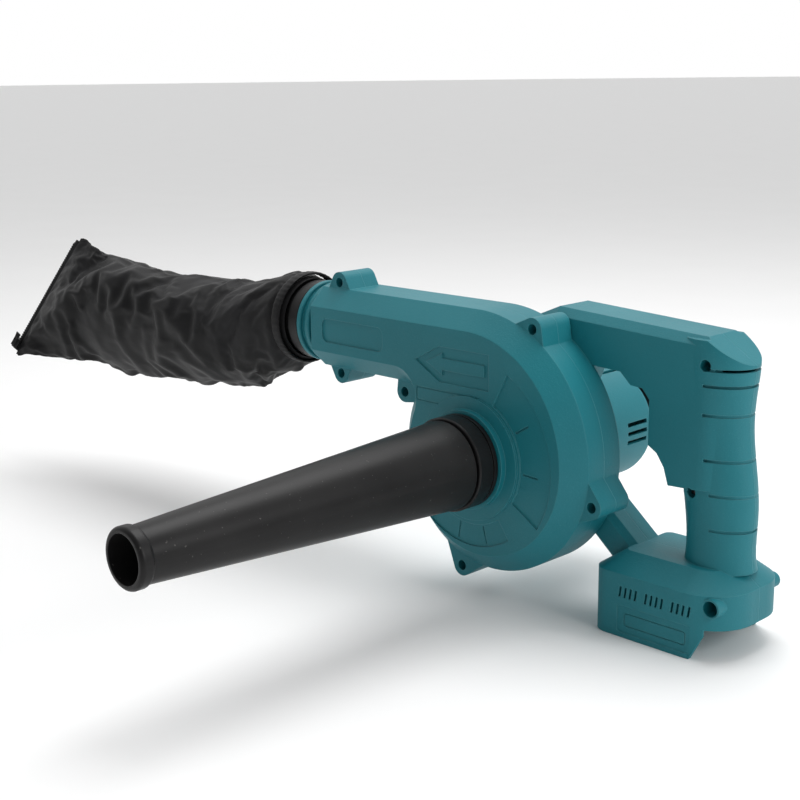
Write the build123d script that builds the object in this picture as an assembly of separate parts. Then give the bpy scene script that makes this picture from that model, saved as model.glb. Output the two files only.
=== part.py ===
from build123d import *
import math
import os

# Cordless leaf blower set up as a vacuum: tapered nozzle on the axial intake, dust bag on the
# tangential outlet, motor barrel behind the fan and a D handle that ends in a battery foot.
# The design frame has its origin where the fan axis meets the parting plane of the scroll:
# X towards the handle, Y along the fan axis away from the nozzle, Z up, all in millimetres.

# Driving dimensions of the scroll
WALL = 2.6
HALF_DEPTH = 29.0
BEVEL = 13.0
SCROLL_TOP = 97.5
SCROLL_RIGHT = 89.0
R_TOP = 92.8
R_RIGHT = 82.7
R_LEFT = 75.3
R_TONGUE = 8.0
DUCT_HEIGHT = 58.0
DUCT_END = -155.1

# Driving dimensions of the handle, its foot and the motor barrel
HANDLE_Y = 34.0
BAR_HALF = 20.0
BAR_BEVEL = 5.5
STRUT_HALF = 15.0
FOOT_FRONT = 84.0
FOOT_REAR = 183.0
FOOT_HALF = 39.0
FOOT_RIM_END = 158.0
FOOT_RIM_Z = -102.0
FOOT_REAR_Z = -82.0
FOOT_SHOULDER_Z = -60.0
FOOT_TOP_Z = -49.0
BARREL_R = 41.0
BARREL_END = 125.0
TRIGGER_TRAVEL = 6.0

# Driving dimensions of the fan and motor
FAN_R = 58.0
FAN_BACK = 21.0
FAN_FRONT = -20.0
BLADE_COUNT = 12
SHAFT_R = 2.5
SHAFT_FIT = 0.03
CAN_R = 22.0
CAN_FRONT = HALF_DEPTH
CAN_REAR = 90.0

# Driving dimensions of the air fittings
INTAKE_R = 25.0
BOSS_R = 33.5
BOSS_FRONT = -34.8
COLLAR_R = 31.2
COLLAR_FRONT = -52.0
NOZZLE_BASE_R = 29.7
NOZZLE_TIP_R = 16.5
MOUTH_R = 14.3
MOUTH_Y = -299.2
RING_R = 29.8
RING_END = -170.8
RING_BORE = 21.5
BAG_COLLAR_R = 29.2
BAG_COLLAR_END = -181.2
FIT = 0.05

# Outlines of the scroll are arcs about these centres, tangent to each other and to the duct
DUCT_MID = SCROLL_TOP - DUCT_HEIGHT / 2
DUCT_LOW = SCROLL_TOP - DUCT_HEIGHT
C_TOP = (SCROLL_RIGHT - R_TOP, SCROLL_TOP - R_TOP)
C_RIGHT = (SCROLL_RIGHT - R_RIGHT, C_TOP[1])
C_LEFT = (C_RIGHT[0], C_RIGHT[1] - R_RIGHT + R_LEFT)
TONGUE_DROP = DUCT_LOW - R_TONGUE - C_LEFT[1]
TONGUE_REACH = math.sqrt((R_LEFT + R_TONGUE) ** 2 - TONGUE_DROP**2)
C_TONGUE = (C_LEFT[0] - TONGUE_REACH, DUCT_LOW - R_TONGUE)
TONGUE_ANGLE = math.degrees(math.atan2(TONGUE_DROP, -TONGUE_REACH))

# Screw lugs round the scroll: centre of the hole, point inside the wall that the lug stands out
# from, and half the spread of its root
LUGS = [
    ((-137.9, 101.7), (-137.9, 60.0), 15),
    ((-137.8, 35.3), (-137.8, 75.0), 15),
    ((-72.3, 31.5), (-45.0, 60.0), 19),
    ((42.0, 89.6), C_TOP, 19),
    ((91.4, -17.5), C_RIGHT, 19),
    ((-18.2, -82.6), C_LEFT, 19),
]
LUG_CENTRES = [centre for centre, root, spread in LUGS]
LUG_DEPTH = 15.0
LUG_R = 7.5
LUG_FRONT = -16.0
LUG_REAR = 13.0
LUG_HOLE_R = 3.5

# Handle screws: x and z, where the near post starts, where the head sits, where the far post ends
HANDLE_SCREWS = [
    (151.0, 77.0, 15.5, 25.0, 52.5),
    (142.0, -4.0, 18.5, 25.0, 49.0),
    (171.0, -67.0, -2.0, 22.0, 70.0),
]

# The finished part stands with its origin at the centre of the foot's rim
ORIGIN = Vector((FOOT_FRONT + FOOT_RIM_END) / 2, HANDLE_Y, FOOT_RIM_Z)


def box(x0, x1, y0, y1, z0, z1):
    """Block between two corners."""
    return Pos((x0 + x1) / 2, (y0 + y1) / 2, (z0 + z1) / 2) * Box(x1 - x0, y1 - y0, z1 - z0)


def rod_x(radius, x0, x1, y=0.0, z=DUCT_MID):
    """Cylinder along X."""
    return Pos((x0 + x1) / 2, y, z) * Rot(0, 90, 0) * Cylinder(radius, x1 - x0)


def rod_y(radius, y0, y1, x=0.0, z=0.0):
    """Cylinder along Y."""
    return Pos(x, (y0 + y1) / 2, z) * Rot(90, 0, 0) * Cylinder(radius, y1 - y0)


def rod_z(radius, z0, z1, x=0.0, y=0.0):
    """Cylinder along Z."""
    return Pos(x, y, (z0 + z1) / 2) * Cylinder(radius, z1 - z0)


def tube_y(outer, inner, y0, y1, x=0.0, z=0.0):
    """Tube along Y."""
    return rod_y(outer, y0, y1, x, z) - rod_y(inner, y0 - 1, y1 + 1, x, z)


def tube_x(outer, inner, x0, x1, y=0.0, z=DUCT_MID):
    """Tube along X."""
    return rod_x(outer, x0, x1, y, z) - rod_x(inner, x0 - 1, x1 + 1, y, z)


def cone_y(r0, r1, y0, y1):
    """Frustum along Y, with radius r0 at y0 and r1 at y1."""
    return Pos(0, (y0 + y1) / 2, 0) * Rot(-90, 0, 0) * Cone(r0, r1, y1 - y0)


def at_y(sketch, y):
    """Sketch drawn in X and Z, placed at one depth."""
    return Plane.XZ.offset(-y) * sketch


def prism_y(sketch, y0, y1):
    """Sketch drawn in X and Z, extruded between two depths."""
    return extrude(at_y(sketch, y0), amount=-(y1 - y0))


def polygon(points):
    """Flat face through the given corners."""
    return make_face(Polyline(*points, close=True))


def spun(part, count):
    """Copies of a part turned evenly about the fan axis."""
    return [Rot(0, 360 / count * index, 0) * part for index in range(count)]


# Scroll ---------------------------------------------------------------------------------------


def scroll_outline(inset, end=DUCT_END):
    """Scroll and duct outline, a given distance inside the outer wall."""
    top = SCROLL_TOP - inset
    low = DUCT_LOW + inset
    sweep = 270 - TONGUE_ANGLE
    top_arc = CenterArc(C_TOP, R_TOP - inset, 0, 90)
    right_arc = CenterArc(C_RIGHT, R_RIGHT - inset, -90, 90)
    left_arc = CenterArc(C_LEFT, R_LEFT - inset, TONGUE_ANGLE, sweep)
    tongue_arc = CenterArc(C_TONGUE, R_TONGUE + inset, TONGUE_ANGLE - 180, sweep)
    top_line = Line((end, top), (C_TOP[0], top))
    end_line = Line((end, top), (end, low))
    low_line = Line((end, low), (C_TONGUE[0], low))
    return make_face([top_arc, right_arc, left_arc, tongue_arc, low_line, end_line, top_line])


def scroll_half(side, skin):
    """Half of the scroll's envelope on one side of the parting plane, skin inside the outside."""
    slope = skin * (math.sqrt(2) - 1)
    end = DUCT_END + (WALL if skin else 0)
    shoulder = HALF_DEPTH - BEVEL - slope
    face = HALF_DEPTH - skin
    straight = prism_y(scroll_outline(skin, end), 0, side * shoulder)
    rim = at_y(scroll_outline(skin, end), side * shoulder)
    front = at_y(scroll_outline(BEVEL + slope, end), side * face)
    return straight + loft([rim, front], ruled=True)


def lug_pad(lug, root, spread):
    """Triangular outline of one screw lug, rooted in the scroll's wall."""
    centre = Vector(*lug)
    inward = (Vector(*root) - centre).normalized()
    across = Vector(-inward.Y, inward.X)
    base = centre + inward * LUG_DEPTH
    left = base + across * spread
    right = base - across * spread
    edges = [
        CenterArc((centre.X, centre.Y), LUG_R, 0, 360),
        CenterArc((left.X, left.Y), 1.5, 0, 360),
        CenterArc((right.X, right.Y), 1.5, 0, 360),
    ]
    return make_hull(edges)


def lugs(y0, y1):
    """All the screw lugs between two depths."""
    return [prism_y(lug_pad(*lug), y0, y1) for lug in LUGS]


def face_sector(r_in, r_out, start, sweep):
    """Ring sector on the front face."""
    ring = Circle(r_out) - Circle(r_in)
    steps = 6
    angles = [math.radians(start + sweep * step / steps) for step in range(steps + 1)]
    fan = [(0, 0)] + [(2 * r_out * math.cos(a), 2 * r_out * math.sin(a)) for a in angles]
    return ring & polygon(fan)


def flow_arrow(tip, length, half, shaft_half, head):
    """Arrow outline that points along -X."""
    x, z = tip
    return polygon([
        (x, z),
        (x + head, z + half),
        (x + head, z + shaft_half),
        (x + length, z + shaft_half),
        (x + length, z - shaft_half),
        (x + head, z - shaft_half),
        (x + head, z - half),
    ])


def face_relief():
    """Shallow recesses moulded in the front face: arrow panel, label frames and sectors."""
    panel_depth = 1.0
    groove_depth = 0.5
    top = -HALF_DEPTH
    arrow_panel = polygon([(-49, 60), (-27, 71.5), (17, 71.5), (17, 47.5), (-27, 47.5)])
    arrow = flow_arrow((-39, 60), 52, 7.5, 4.0, 15)
    label = Pos(-20, 37) * (RectangleRounded(56, 10, 1.5) - RectangleRounded(54, 8, 1))
    duct_panel = Pos(-112, 68.5) * RectangleRounded(62, 17, 5)
    bottom_sector = face_sector(45, 60, -150, 95)
    right_sector = face_sector(44, 69, -32, 94)
    recesses = [arrow_panel - arrow, duct_panel, right_sector, bottom_sector]
    cuts = [prism_y(recess, top, top + panel_depth) for recess in recesses]
    cuts.append(prism_y(label, top, top + groove_depth))
    for angle in (31, -3, -75, -100, -125):
        spoke = Rot(0, -angle, 0) * box(46, 58, top, top + panel_depth + 0.8, -0.6, 0.6)
        cuts.append(spoke)
    return cuts


def make_volute_front():
    """Front half of the scroll, with the intake boss and the counterbored lugs."""
    shell = scroll_half(-1, 0) + lugs(LUG_FRONT, 0)
    shell += rod_y(42, -HALF_DEPTH - 1.6, -HALF_DEPTH + 1)
    shell -= scroll_half(-1, WALL)
    shell += tube_y(BOSS_R, INTAKE_R, BOSS_FRONT, -HALF_DEPTH + WALL)
    shell -= rod_y(COLLAR_R - 3 + FIT, BOSS_FRONT - 1, -HALF_DEPTH)
    shell -= rod_y(INTAKE_R, BOSS_FRONT - 1, -HALF_DEPTH + WALL + 1)
    shell -= rod_x(RING_BORE + 2, DUCT_END - 1, DUCT_END + WALL + 1)
    for lug in LUG_CENTRES:
        shell -= rod_y(LUG_HOLE_R, LUG_FRONT - 1, -5, *lug)
        shell -= rod_y(2.2, -6, 1, *lug)
    for cut in face_relief():
        shell -= cut
    return shell


def volute_rear_shell():
    """Rear half of the scroll, with the motor seat."""
    shell = scroll_half(1, 0) + lugs(0, LUG_REAR)
    shell -= scroll_half(1, WALL)
    shell += rod_y(26, HALF_DEPTH - 5, HALF_DEPTH)
    shell -= rod_y(9, HALF_DEPTH - 6, HALF_DEPTH + 1)
    for side in (-1, 1):
        shell -= rod_y(2.1, HALF_DEPTH - 6, HALF_DEPTH + 1, side * 14.5)
    shell -= rod_x(RING_BORE + 2, DUCT_END - 1, DUCT_END + WALL + 1)
    for lug in LUG_CENTRES:
        shell -= rod_y(1.75, -1, LUG_REAR - 2, *lug)
    return shell


# Handle ---------------------------------------------------------------------------------------

BAR_OUTLINE = [
    (6, 50), (6, 87), (36, 99.6), (149, 93.6), (169, 80.5), (172, 60), (166, 0), (127, -2),
    (123.5, 9), (118, 17), (111.5, 21), (111.5, 50), (106, 56.4), (97, 57), (89, 64.5), (52, 66),
    (40, 38), (20, 34),
]

# Sections of the grip column (z, x of the centre, half width in X, half width in Y)
GRIP_SECTIONS = [
    (92, 147.5, 23.0, 20.0),
    (50, 147.5, 24.0, 19.4),
    (18, 149.3, 24.4, 18.4),
    (-12, 153.2, 24.0, 18.0),
    (-36, 154.2, 22.4, 18.0),
    (-52, 154.6, 23.5, 19.5),
]

STRUT_OUTLINE = [(20, 18.5), (118, -63.7), (99, -78), (20, -11)]

# Heights of the grooves that wrap the back of the grip, from the pair at the top downwards
GRIP_GROOVES = [74.5, 64.5, 46.5, 18.5, -3.0, -25.0]


def bar_block(skin):
    """Top bar, trigger housing and web to the motor barrel."""
    outline = polygon(BAR_OUTLINE)
    if skin:
        outline = offset(outline, -skin, kind=Kind.INTERSECTION)
    half = BAR_HALF - skin
    block = prism_y(outline, HANDLE_Y - half, HANDLE_Y + half)
    column_x = GRIP_SECTIONS[0][1]
    nose = rod_z(half, -10, 120, column_x, HANDLE_Y)
    front = box(0, column_x, HANDLE_Y - half, HANDLE_Y + half, -10, 120)
    block = block & (front + nose)
    rims = [
        edge for edge in block.edges()
        if edge.center().Z > 80 and edge.center().X < 140 and abs(edge.center().Y - HANDLE_Y) > half - 0.1
    ]
    return chamfer(rims, BAR_BEVEL - skin * 0.4)


def grip_column(skin):
    """Oval grip between the top bar and the foot."""
    sections = []
    for z, x, half_x, half_y in GRIP_SECTIONS:
        sections.append(Pos(x, HANDLE_Y, z) * Ellipse(half_x - skin, half_y - skin))
    column = loft(sections)
    roof = polygon([(100, 100), (100, 96.2 - skin), (149, 93.6 - skin), (169 - skin, 80.5 - skin / 2),
                    (185, 70), (185, 100)])
    return column - prism_y(roof, HANDLE_Y - 30, HANDLE_Y + 30)


def foot_plan(skin, front_r, rear_r):
    """Plan outline of the battery foot."""
    width = FOOT_REAR - FOOT_FRONT - 2 * skin
    plan = Rectangle(width, 2 * (FOOT_HALF - skin))
    plan = fillet(plan.vertices().group_by(Axis.X)[0], front_r)
    plan = fillet(plan.vertices().group_by(Axis.X)[-1], rear_r)
    return Pos((FOOT_FRONT + FOOT_REAR) / 2, HANDLE_Y) * plan


def foot_block(skin, floor):
    """Battery foot with its sloping shoulders, down to a given floor."""
    low = Pos(0, 0, floor) * foot_plan(skin, 12 - skin, 30 - skin)
    rim = Pos(0, 0, FOOT_SHOULDER_Z) * foot_plan(skin, 12 - skin, 30 - skin)
    top = Pos(0, 0, FOOT_TOP_Z - skin) * foot_plan(skin + 15, 5, 16)
    return extrude(low, amount=FOOT_SHOULDER_Z - floor) + loft([rim, top], ruled=True)


def strut_block(skin):
    """Slanting strut between the scroll and the foot."""
    outline = polygon(STRUT_OUTLINE)
    half = STRUT_HALF - skin
    if skin:
        outline = offset(outline, -skin, kind=Kind.INTERSECTION)
    strut = prism_y(outline, HANDLE_Y - half, HANDLE_Y + half)
    if skin:
        return strut
    return chamfer(strut.edges().filter_by(Plane.XZ).sort_by(SortBy.LENGTH)[-4:], 4)


def handle_outside():
    """Envelope of the whole handle loop."""
    envelope = bar_block(0) + grip_column(0) + strut_block(0) + foot_block(0, FOOT_RIM_Z)
    rear_cut = [(FOOT_RIM_END, FOOT_RIM_Z - 1), (169, FOOT_REAR_Z), (200, FOOT_REAR_Z),
                (200, FOOT_RIM_Z - 1)]
    return envelope - prism_y(polygon(rear_cut), HANDLE_Y - 50, HANDLE_Y + 50)


def battery_bay():
    """Space under the foot that the battery slides into from the rear."""
    side = FOOT_HALF - 3.6
    bay = box(FOOT_FRONT + 4, 200, HANDLE_Y - side, HANDLE_Y + side, FOOT_RIM_Z - 1, FOOT_REAR_Z)
    for sign in (-1, 1):
        y = HANDLE_Y + sign * (side - 2)
        bay -= box(92, 157, y - 2.1, y + 2.1, FOOT_RIM_Z + 0.5, FOOT_RIM_Z + 4)
    return bay


def grip_grooves():
    """Narrow grooves round the back half of the grip."""
    cuts = []
    for z in GRIP_GROOVES:
        index = min(range(len(GRIP_SECTIONS)), key=lambda k: abs(GRIP_SECTIONS[k][0] - z))
        level, x, half_x, half_y = GRIP_SECTIONS[index]
        band = Ellipse(half_x + 6, half_y + 6) - Ellipse(half_x - 1.0, half_y - 1.0)
        ring = extrude(Pos(x, HANDLE_Y, z - 0.9) * band, amount=1.8)
        cuts.append(ring & box(x + 2, x + 60, -20, 90, z - 3, z + 3))
    return cuts


def foot_details():
    """Cooling slots and the framed panel on both sides of the foot."""
    cuts = []
    for sign in (-1, 1):
        face = HANDLE_Y + sign * FOOT_HALF
        for group in range(3):
            for slot in range(4):
                x = 107 + group * 19.5 + slot * 3.9
                cuts.append(Pos(x, face, -71.6) * Rot(0, 8, 0) * Box(1.6, 12, 7))
        panel = Pos(133, 0) * Pos(0, -89.6) * RectangleRounded(56, 18, 2)
        frame = Pos(133, 0) * Pos(0, -89.6) * (RectangleRounded(46, 9, 2) - RectangleRounded(44.6, 7.6, 1.3))
        cuts.append(prism_y(panel, face - 0.6, face + 0.6))
        cuts.append(prism_y(frame, face - 1.1, face + 1.1))
    return cuts


def handle_shell():
    """Hollow handle loop with its openings, before it is split into two halves."""
    hollow = bar_block(WALL) + grip_column(WALL) + strut_block(WALL)
    hollow += foot_block(WALL, FOOT_REAR_Z + WALL)
    shell = handle_outside() - hollow
    shell -= battery_bay()
    shell -= box(86, 122, HANDLE_Y - 8.4, HANDLE_Y + 8.4, 20.6, 54)
    for cut in grip_grooves() + foot_details():
        shell -= cut
    return shell


def screw_posts(side):
    """Posts in one handle half that carry the handle screws."""
    posts = []
    for x, z, near_y, head_y, far_y in HANDLE_SCREWS:
        if side < 0:
            posts.append(rod_y(6.2, near_y, HANDLE_Y, x, z))
        else:
            posts.append(rod_y(5.0, HANDLE_Y, far_y, x, z))
    return posts


def make_housing_near():
    """Near handle half in one piece with the rear half of the scroll."""
    near = box(-200, 250, -60, HANDLE_Y, -150, 150)
    shell = handle_shell() + screw_posts(-1)
    shell = shell & near
    shell -= scroll_half(1, 0)
    shell -= rod_y(BARREL_R, HALF_DEPTH, BARREL_END)
    for x, z, near_y, head_y, far_y in HANDLE_SCREWS:
        recess_r = 5.0 if z < FOOT_SHOULDER_Z else 3.6
        shell -= rod_y(recess_r, -10, head_y - 6, x, z)
        shell -= rod_y(3.6, head_y - 8, head_y, x, z)
        shell -= rod_y(2.0, head_y - 1, HANDLE_Y + 1, x, z)
    return shell + volute_rear_shell()


def barrel_vents():
    """Cooling slots near the closed end of the barrel, in groups round it."""
    slots = []
    for middle in (0, 90, 180, 270):
        for step in (-2, -1, 0, 1, 2):
            if middle == 0 and abs(step) == 2:
                continue
            slot = box(BARREL_R - 6, BARREL_R + 4, 91, 113, -1.5, 1.5)
            slots.append(Rot(0, middle + step * 9, 0) * slot)
    return slots


def motor_barrel():
    """Barrel behind the scroll that covers the motor, with ribs that hold the can."""
    outside = rod_y(BARREL_R, HALF_DEPTH, BARREL_END)
    outside = fillet(outside.edges().filter_by(GeomType.CIRCLE).sort_by(Axis.Y)[-1], 9)
    barrel = outside - rod_y(BARREL_R - WALL, HALF_DEPTH - 1, BARREL_END - 9)
    barrel -= rod_y(BARREL_R - 9, HALF_DEPTH, BARREL_END - WALL)
    for slot in barrel_vents():
        barrel -= slot
    rib = box(CAN_R + 0.02, BARREL_R - WALL / 2, 40, 86, -1.2, 1.2)
    return barrel + spun(rib, 6)


def make_housing_far():
    """Far handle half in one piece with the motor barrel."""
    far = box(-200, 250, HANDLE_Y, 200, -150, 150)
    shell = handle_shell() + screw_posts(1)
    shell = shell & far
    shell -= rod_y(BARREL_R - 1, 0, BARREL_END + 1)
    for x, z, near_y, head_y, far_y in HANDLE_SCREWS:
        shell -= rod_y(1.75, HANDLE_Y - 1, HANDLE_Y + 11, x, z)
    return shell + motor_barrel()


# Screws ---------------------------------------------------------------------------------------


def screw(head_y, tip_y, x, z, head_r=3.3, shank_r=1.75):
    """Pan-head screw along +Y with a cross recess."""
    body = rod_y(head_r, head_y - 2.4, head_y, x, z) + rod_y(shank_r, head_y, tip_y, x, z)
    cross = box(x - 1.9, x + 1.9, head_y - 3, head_y - 1.1, z - 0.45, z + 0.45)
    cross += box(x - 0.45, x + 0.45, head_y - 3, head_y - 1.1, z - 1.9, z + 1.9)
    return body - cross


def make_volute_screws():
    """Six screws that hold the scroll halves together."""
    return [screw(-5, LUG_REAR - 3, *lug) for lug in LUG_CENTRES]


def make_handle_screws():
    """Three screws that hold the handle halves together."""
    return [screw(head_y, HANDLE_Y + 10, x, z) for x, z, near_y, head_y, far_y in HANDLE_SCREWS]


def make_motor_screws():
    """Two screws that hold the motor can to the rear of the scroll."""
    return [screw(HALF_DEPTH - 5, HALF_DEPTH + 4, side * 14.5, 0, 3.6, 2.0) for side in (-1, 1)]


# Fan and motor --------------------------------------------------------------------------------


def blade_outline():
    """One backward-curved blade in X and Z."""
    curve_r = 34.0
    curve_x = 36.0
    arc = Pos(curve_x, 0) * (Circle(curve_r + 0.9) - Circle(curve_r - 0.9))
    reach = Circle(FAN_R - 0.5) - Circle(24)
    return arc & reach & (Pos(40, 40) * Rectangle(100, 80))


def make_impeller():
    """Open fan wheel: back plate, hub and curved blades."""
    plate = rod_y(FAN_R, FAN_BACK - 2, FAN_BACK)
    hub = cone_y(7.5, 13, -6, FAN_BACK - 1)
    wheel = plate + hub - rod_y(SHAFT_R, -30, 40)
    outline = blade_outline()
    for index in range(BLADE_COUNT):
        turned = Rot(0, 0, 360 / BLADE_COUNT * index) * outline
        wheel += prism_y(turned, FAN_FRONT, FAN_BACK - 1)
    return wheel


def make_impeller_nut():
    """Lock nut and washer on the end of the shaft."""
    washer = rod_y(6, -7.2, -6)
    nut = prism_y(RegularPolygon(4.5, 6), -12, -7.2)
    return washer + nut - rod_y(SHAFT_R, -20, 0)


def make_motor_shaft():
    """Shaft through the motor and the fan, with a chamfered threaded end."""
    shaft = rod_y(SHAFT_R, -15, 97)
    ends = shaft.edges().filter_by(GeomType.CIRCLE)
    return chamfer(ends, 0.6)


def make_motor_can():
    """Steel motor can with its front wall, bearing seat and two tapped holes."""
    can = tube_y(CAN_R, CAN_R - 1.6, CAN_FRONT, CAN_REAR)
    can += rod_y(CAN_R, CAN_FRONT, CAN_FRONT + 2)
    can += rod_y(8.9, CAN_FRONT - 4, CAN_FRONT + 4)
    can -= rod_y(6.0, CAN_FRONT - 3, CAN_FRONT + 5)
    can -= rod_y(4.0, CAN_FRONT - 5, CAN_FRONT)
    for side in (-1, 1):
        can -= rod_y(2.0, CAN_FRONT - 1, CAN_FRONT + 3, side * 14.5)
    return can


def make_motor_magnets():
    """Two curved magnets glued inside the can."""
    ring = tube_y(CAN_R - 1.6, CAN_R - 5.2, 37, 81.5)
    magnet = ring & box(3, 40, 30, 90, -14, 14)
    return [magnet, Rot(0, 180, 0) * magnet]


def make_armature_core():
    """Slotted iron core on the shaft."""
    core = rod_y(15.8, 42, 76)
    slot = box(9, 17, 41, 77, -0.9, 0.9) + rod_y(2.2, 41, 77, 11, 0)
    for cut in spun(slot, 12):
        core -= cut
    return core - rod_y(SHAFT_R, 30, 90)


def make_windings():
    """Copper wire: one bundle in each slot and an end ring at both ends of the core."""
    ends = [tube_y(14.2, 6, 37.5, 42), tube_y(14.2, 6, 76, 80.5)]
    bundle = rod_y(2.1, 41, 77, 11, 0)
    coil = ends[0] + ends[1] + spun(bundle, 12)
    return coil


def make_commutator():
    """Copper commutator with twelve segments."""
    drum = tube_y(6.0, SHAFT_R, 80.5, 88.5)
    for cut in spun(box(5, 7, 80, 89, -0.25, 0.25), 12):
        drum -= cut
    return drum


def make_front_bearing():
    """Bearing in the front of the can."""
    return tube_y(6.0, SHAFT_R + SHAFT_FIT, CAN_FRONT - 3, CAN_FRONT + 4)


def make_rear_bearing():
    """Bearing in the motor's end cap."""
    return tube_y(6.0, SHAFT_R + SHAFT_FIT, 91, 96)


def make_motor_end_cap():
    """Plastic end cap of the motor, with the rear bearing seat and vent holes."""
    cap = rod_y(CAN_R, CAN_REAR, CAN_REAR + 3) + rod_y(8.5, CAN_REAR, 98)
    cap -= rod_y(6.0, CAN_REAR - 1, 96)
    cap -= rod_y(3.2, 95, 99)
    for hole in spun(rod_y(3, CAN_REAR - 1, CAN_REAR + 4, 10.5, 10.5), 4):
        cap -= hole
    return cap


def make_brush_holders():
    """Two brass brush guides fixed under the end cap."""
    guide = box(8.5, 19.5, 82.5, 87.5, -3.6, 3.6) - box(8, 20, 83.3, 86.7, -2.8, 2.8)
    guide += box(15, 18, 87.5, CAN_REAR, -2, 2)
    return [guide, Rot(0, 180, 0) * guide]


def make_carbon_brushes():
    """Two carbon brushes that press on the commutator."""
    brush = box(6.3, 14, 83.35, 86.65, -2.75, 2.75)
    return [brush, Rot(0, 180, 0) * brush]


def coil_spring(radius, wire, pitch, length):
    """Helical compression spring along Z from the origin."""
    path = Helix(pitch=pitch, height=length - wire, radius=radius)
    section = Plane(origin=path @ 0, z_dir=path % 0) * Circle(wire / 2)
    return Pos(0, 0, wire / 2) * sweep(section, path=path, is_frenet=True)


def make_brush_springs():
    """Two springs behind the brushes."""
    spring = Pos(14, 85, 0) * Rot(0, 90, 0) * coil_spring(1.2, 0.4, 1.1, 5.2)
    return [spring, Rot(0, 180, 0) * spring]


# Switch and electrics -------------------------------------------------------------------------


def make_trigger():
    """Finger trigger: curved front with a beak at the top, and a foot that bears on the switch."""
    top = 53.2
    low = 21.4
    front = ThreePointArc((93, top), (100.6, 44), (102.8, low))
    rest = Polyline((102.8, low), (116, low), (116, top), (93, top))
    body = prism_y(make_face([front, rest]), HANDLE_Y - 8, HANDLE_Y + 8)
    rims = [edge for edge in body.edges().filter_by(GeomType.CIRCLE)]
    body = fillet(rims, 2)
    core = box(106, 117, HANDLE_Y - 6, HANDLE_Y + 6, low + 2, top - 2)
    foot = rod_x(4.2, 105, 116, HANDLE_Y, 36)
    return body - core + foot


def make_switch_plunger():
    """Plunger between the trigger and the switch."""
    return rod_x(2.2, 116, 130, HANDLE_Y, 36)


def make_trigger_spring():
    """Return spring round the plunger."""
    return Pos(116, HANDLE_Y, 36) * Rot(0, 90, 0) * coil_spring(3.4, 0.7, 1.9, 9.9)


def make_switch_body():
    """Trigger switch in the top of the grip."""
    body = box(126, 152, HANDLE_Y - 9, HANDLE_Y + 9, 20, 50)
    body = fillet(body.edges().filter_by(Axis.Y), 1.5)
    body -= rod_x(2.25, 125, 140, HANDLE_Y, 36)
    tabs = [box(137 + step * 7, 138 + step * 7, HANDLE_Y - 3, HANDLE_Y + 3, 14, 20.5) for step in (0, 1)]
    return body + tabs


def make_terminal_block():
    """Black block under the foot that carries the battery blades."""
    block = box(91, 120, HANDLE_Y - 19, HANDLE_Y + 19, FOOT_REAR_Z - 9, FOOT_REAR_Z)
    block = fillet(block.edges().filter_by(Axis.Z), 2)
    for y in (-13, 0, 13):
        block -= box(100, 121, HANDLE_Y + y - 3.2, HANDLE_Y + y + 3.2, FOOT_REAR_Z - 10, FOOT_REAR_Z - 2)
    return block


def make_battery_terminals():
    """Three flat blades that plug into the battery."""
    return [box(97, 118, HANDLE_Y + y - 0.4, HANDLE_Y + y + 0.4, FOOT_REAR_Z - 7.5, FOOT_REAR_Z - 1)
            for y in (-13, 0, 13)]


def make_controller_board():
    """Speed control board in the foot, with its capacitors."""
    floor = FOOT_REAR_Z + WALL
    board = box(98, 148, HANDLE_Y - 20, HANDLE_Y + 20, floor + 3, floor + 4.6)
    for x, y in ((102, -16), (144, -16), (102, 16), (144, 16)):
        board += rod_z(2.5, floor, floor + 3, x, HANDLE_Y + y)
    board += [rod_z(4, floor + 4.6, floor + 16, 108, HANDLE_Y + y) for y in (-12, 12)]
    return board


def make_heatsink():
    """Finned heatsink on the board."""
    base = FOOT_REAR_Z + WALL + 4.6
    sink = box(118, 142, HANDLE_Y - 10, HANDLE_Y + 10, base, base + 3)
    for step in range(6):
        x = 118.8 + step * 4.4
        sink += box(x, x + 1.4, HANDLE_Y - 10, HANDLE_Y + 10, base + 3, base + 13)
    return sink


# Air fittings ---------------------------------------------------------------------------------


def make_nozzle_collar():
    """Hard ring that plugs into the intake boss and carries the nozzle."""
    ring = rod_y(COLLAR_R, COLLAR_FRONT, BOSS_FRONT)
    ring = chamfer(ring.edges().filter_by(GeomType.CIRCLE), 0.8)
    ring += rod_y(COLLAR_R - 3, BOSS_FRONT - 2, -HALF_DEPTH - 0.2)
    ring += rod_y(26.0, -66, COLLAR_FRONT + 1)
    ring -= rod_y(23.0, -70, -20)
    groove = tube_y(COLLAR_R + 1, COLLAR_R - 1.2, -40, -38.6)
    return ring - groove


def make_nozzle():
    """Tapered rubber nozzle with a thick lip round its mouth."""
    lip_y = MOUTH_Y + 9
    tube = cone_y(NOZZLE_TIP_R, NOZZLE_BASE_R, lip_y - 2, -53.8)
    lip = rod_y(18, MOUTH_Y, lip_y)
    lip = fillet(lip.edges().filter_by(GeomType.CIRCLE), 2.5)
    land = rod_y(MOUTH_R, MOUTH_Y - 1, MOUTH_Y + 14)
    bore = cone_y(MOUTH_R, NOZZLE_BASE_R - 3.2, MOUTH_Y + 14, -66)
    seat = rod_y(26.0, -66, -50)
    return tube + lip - land - bore - seat


def make_outlet_ring():
    """Ribbed ring clamped in the end of the duct."""
    ring = rod_x(27, RING_END, DUCT_END)
    for x0, x1 in ((RING_END, RING_END + 4.1), (RING_END + 9.1, DUCT_END - 2.4)):
        rib = rod_x(RING_R, x0, x1)
        ring += chamfer(rib.edges().filter_by(GeomType.CIRCLE), 0.7)
    ring += rod_x(RING_BORE + 2, DUCT_END - 1, DUCT_END + WALL)
    ring += rod_x(RING_BORE + 4.2, DUCT_END + WALL, DUCT_END + WALL + 2.4)
    return ring - rod_x(RING_BORE, RING_END - 1, DUCT_END + 10)


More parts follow.
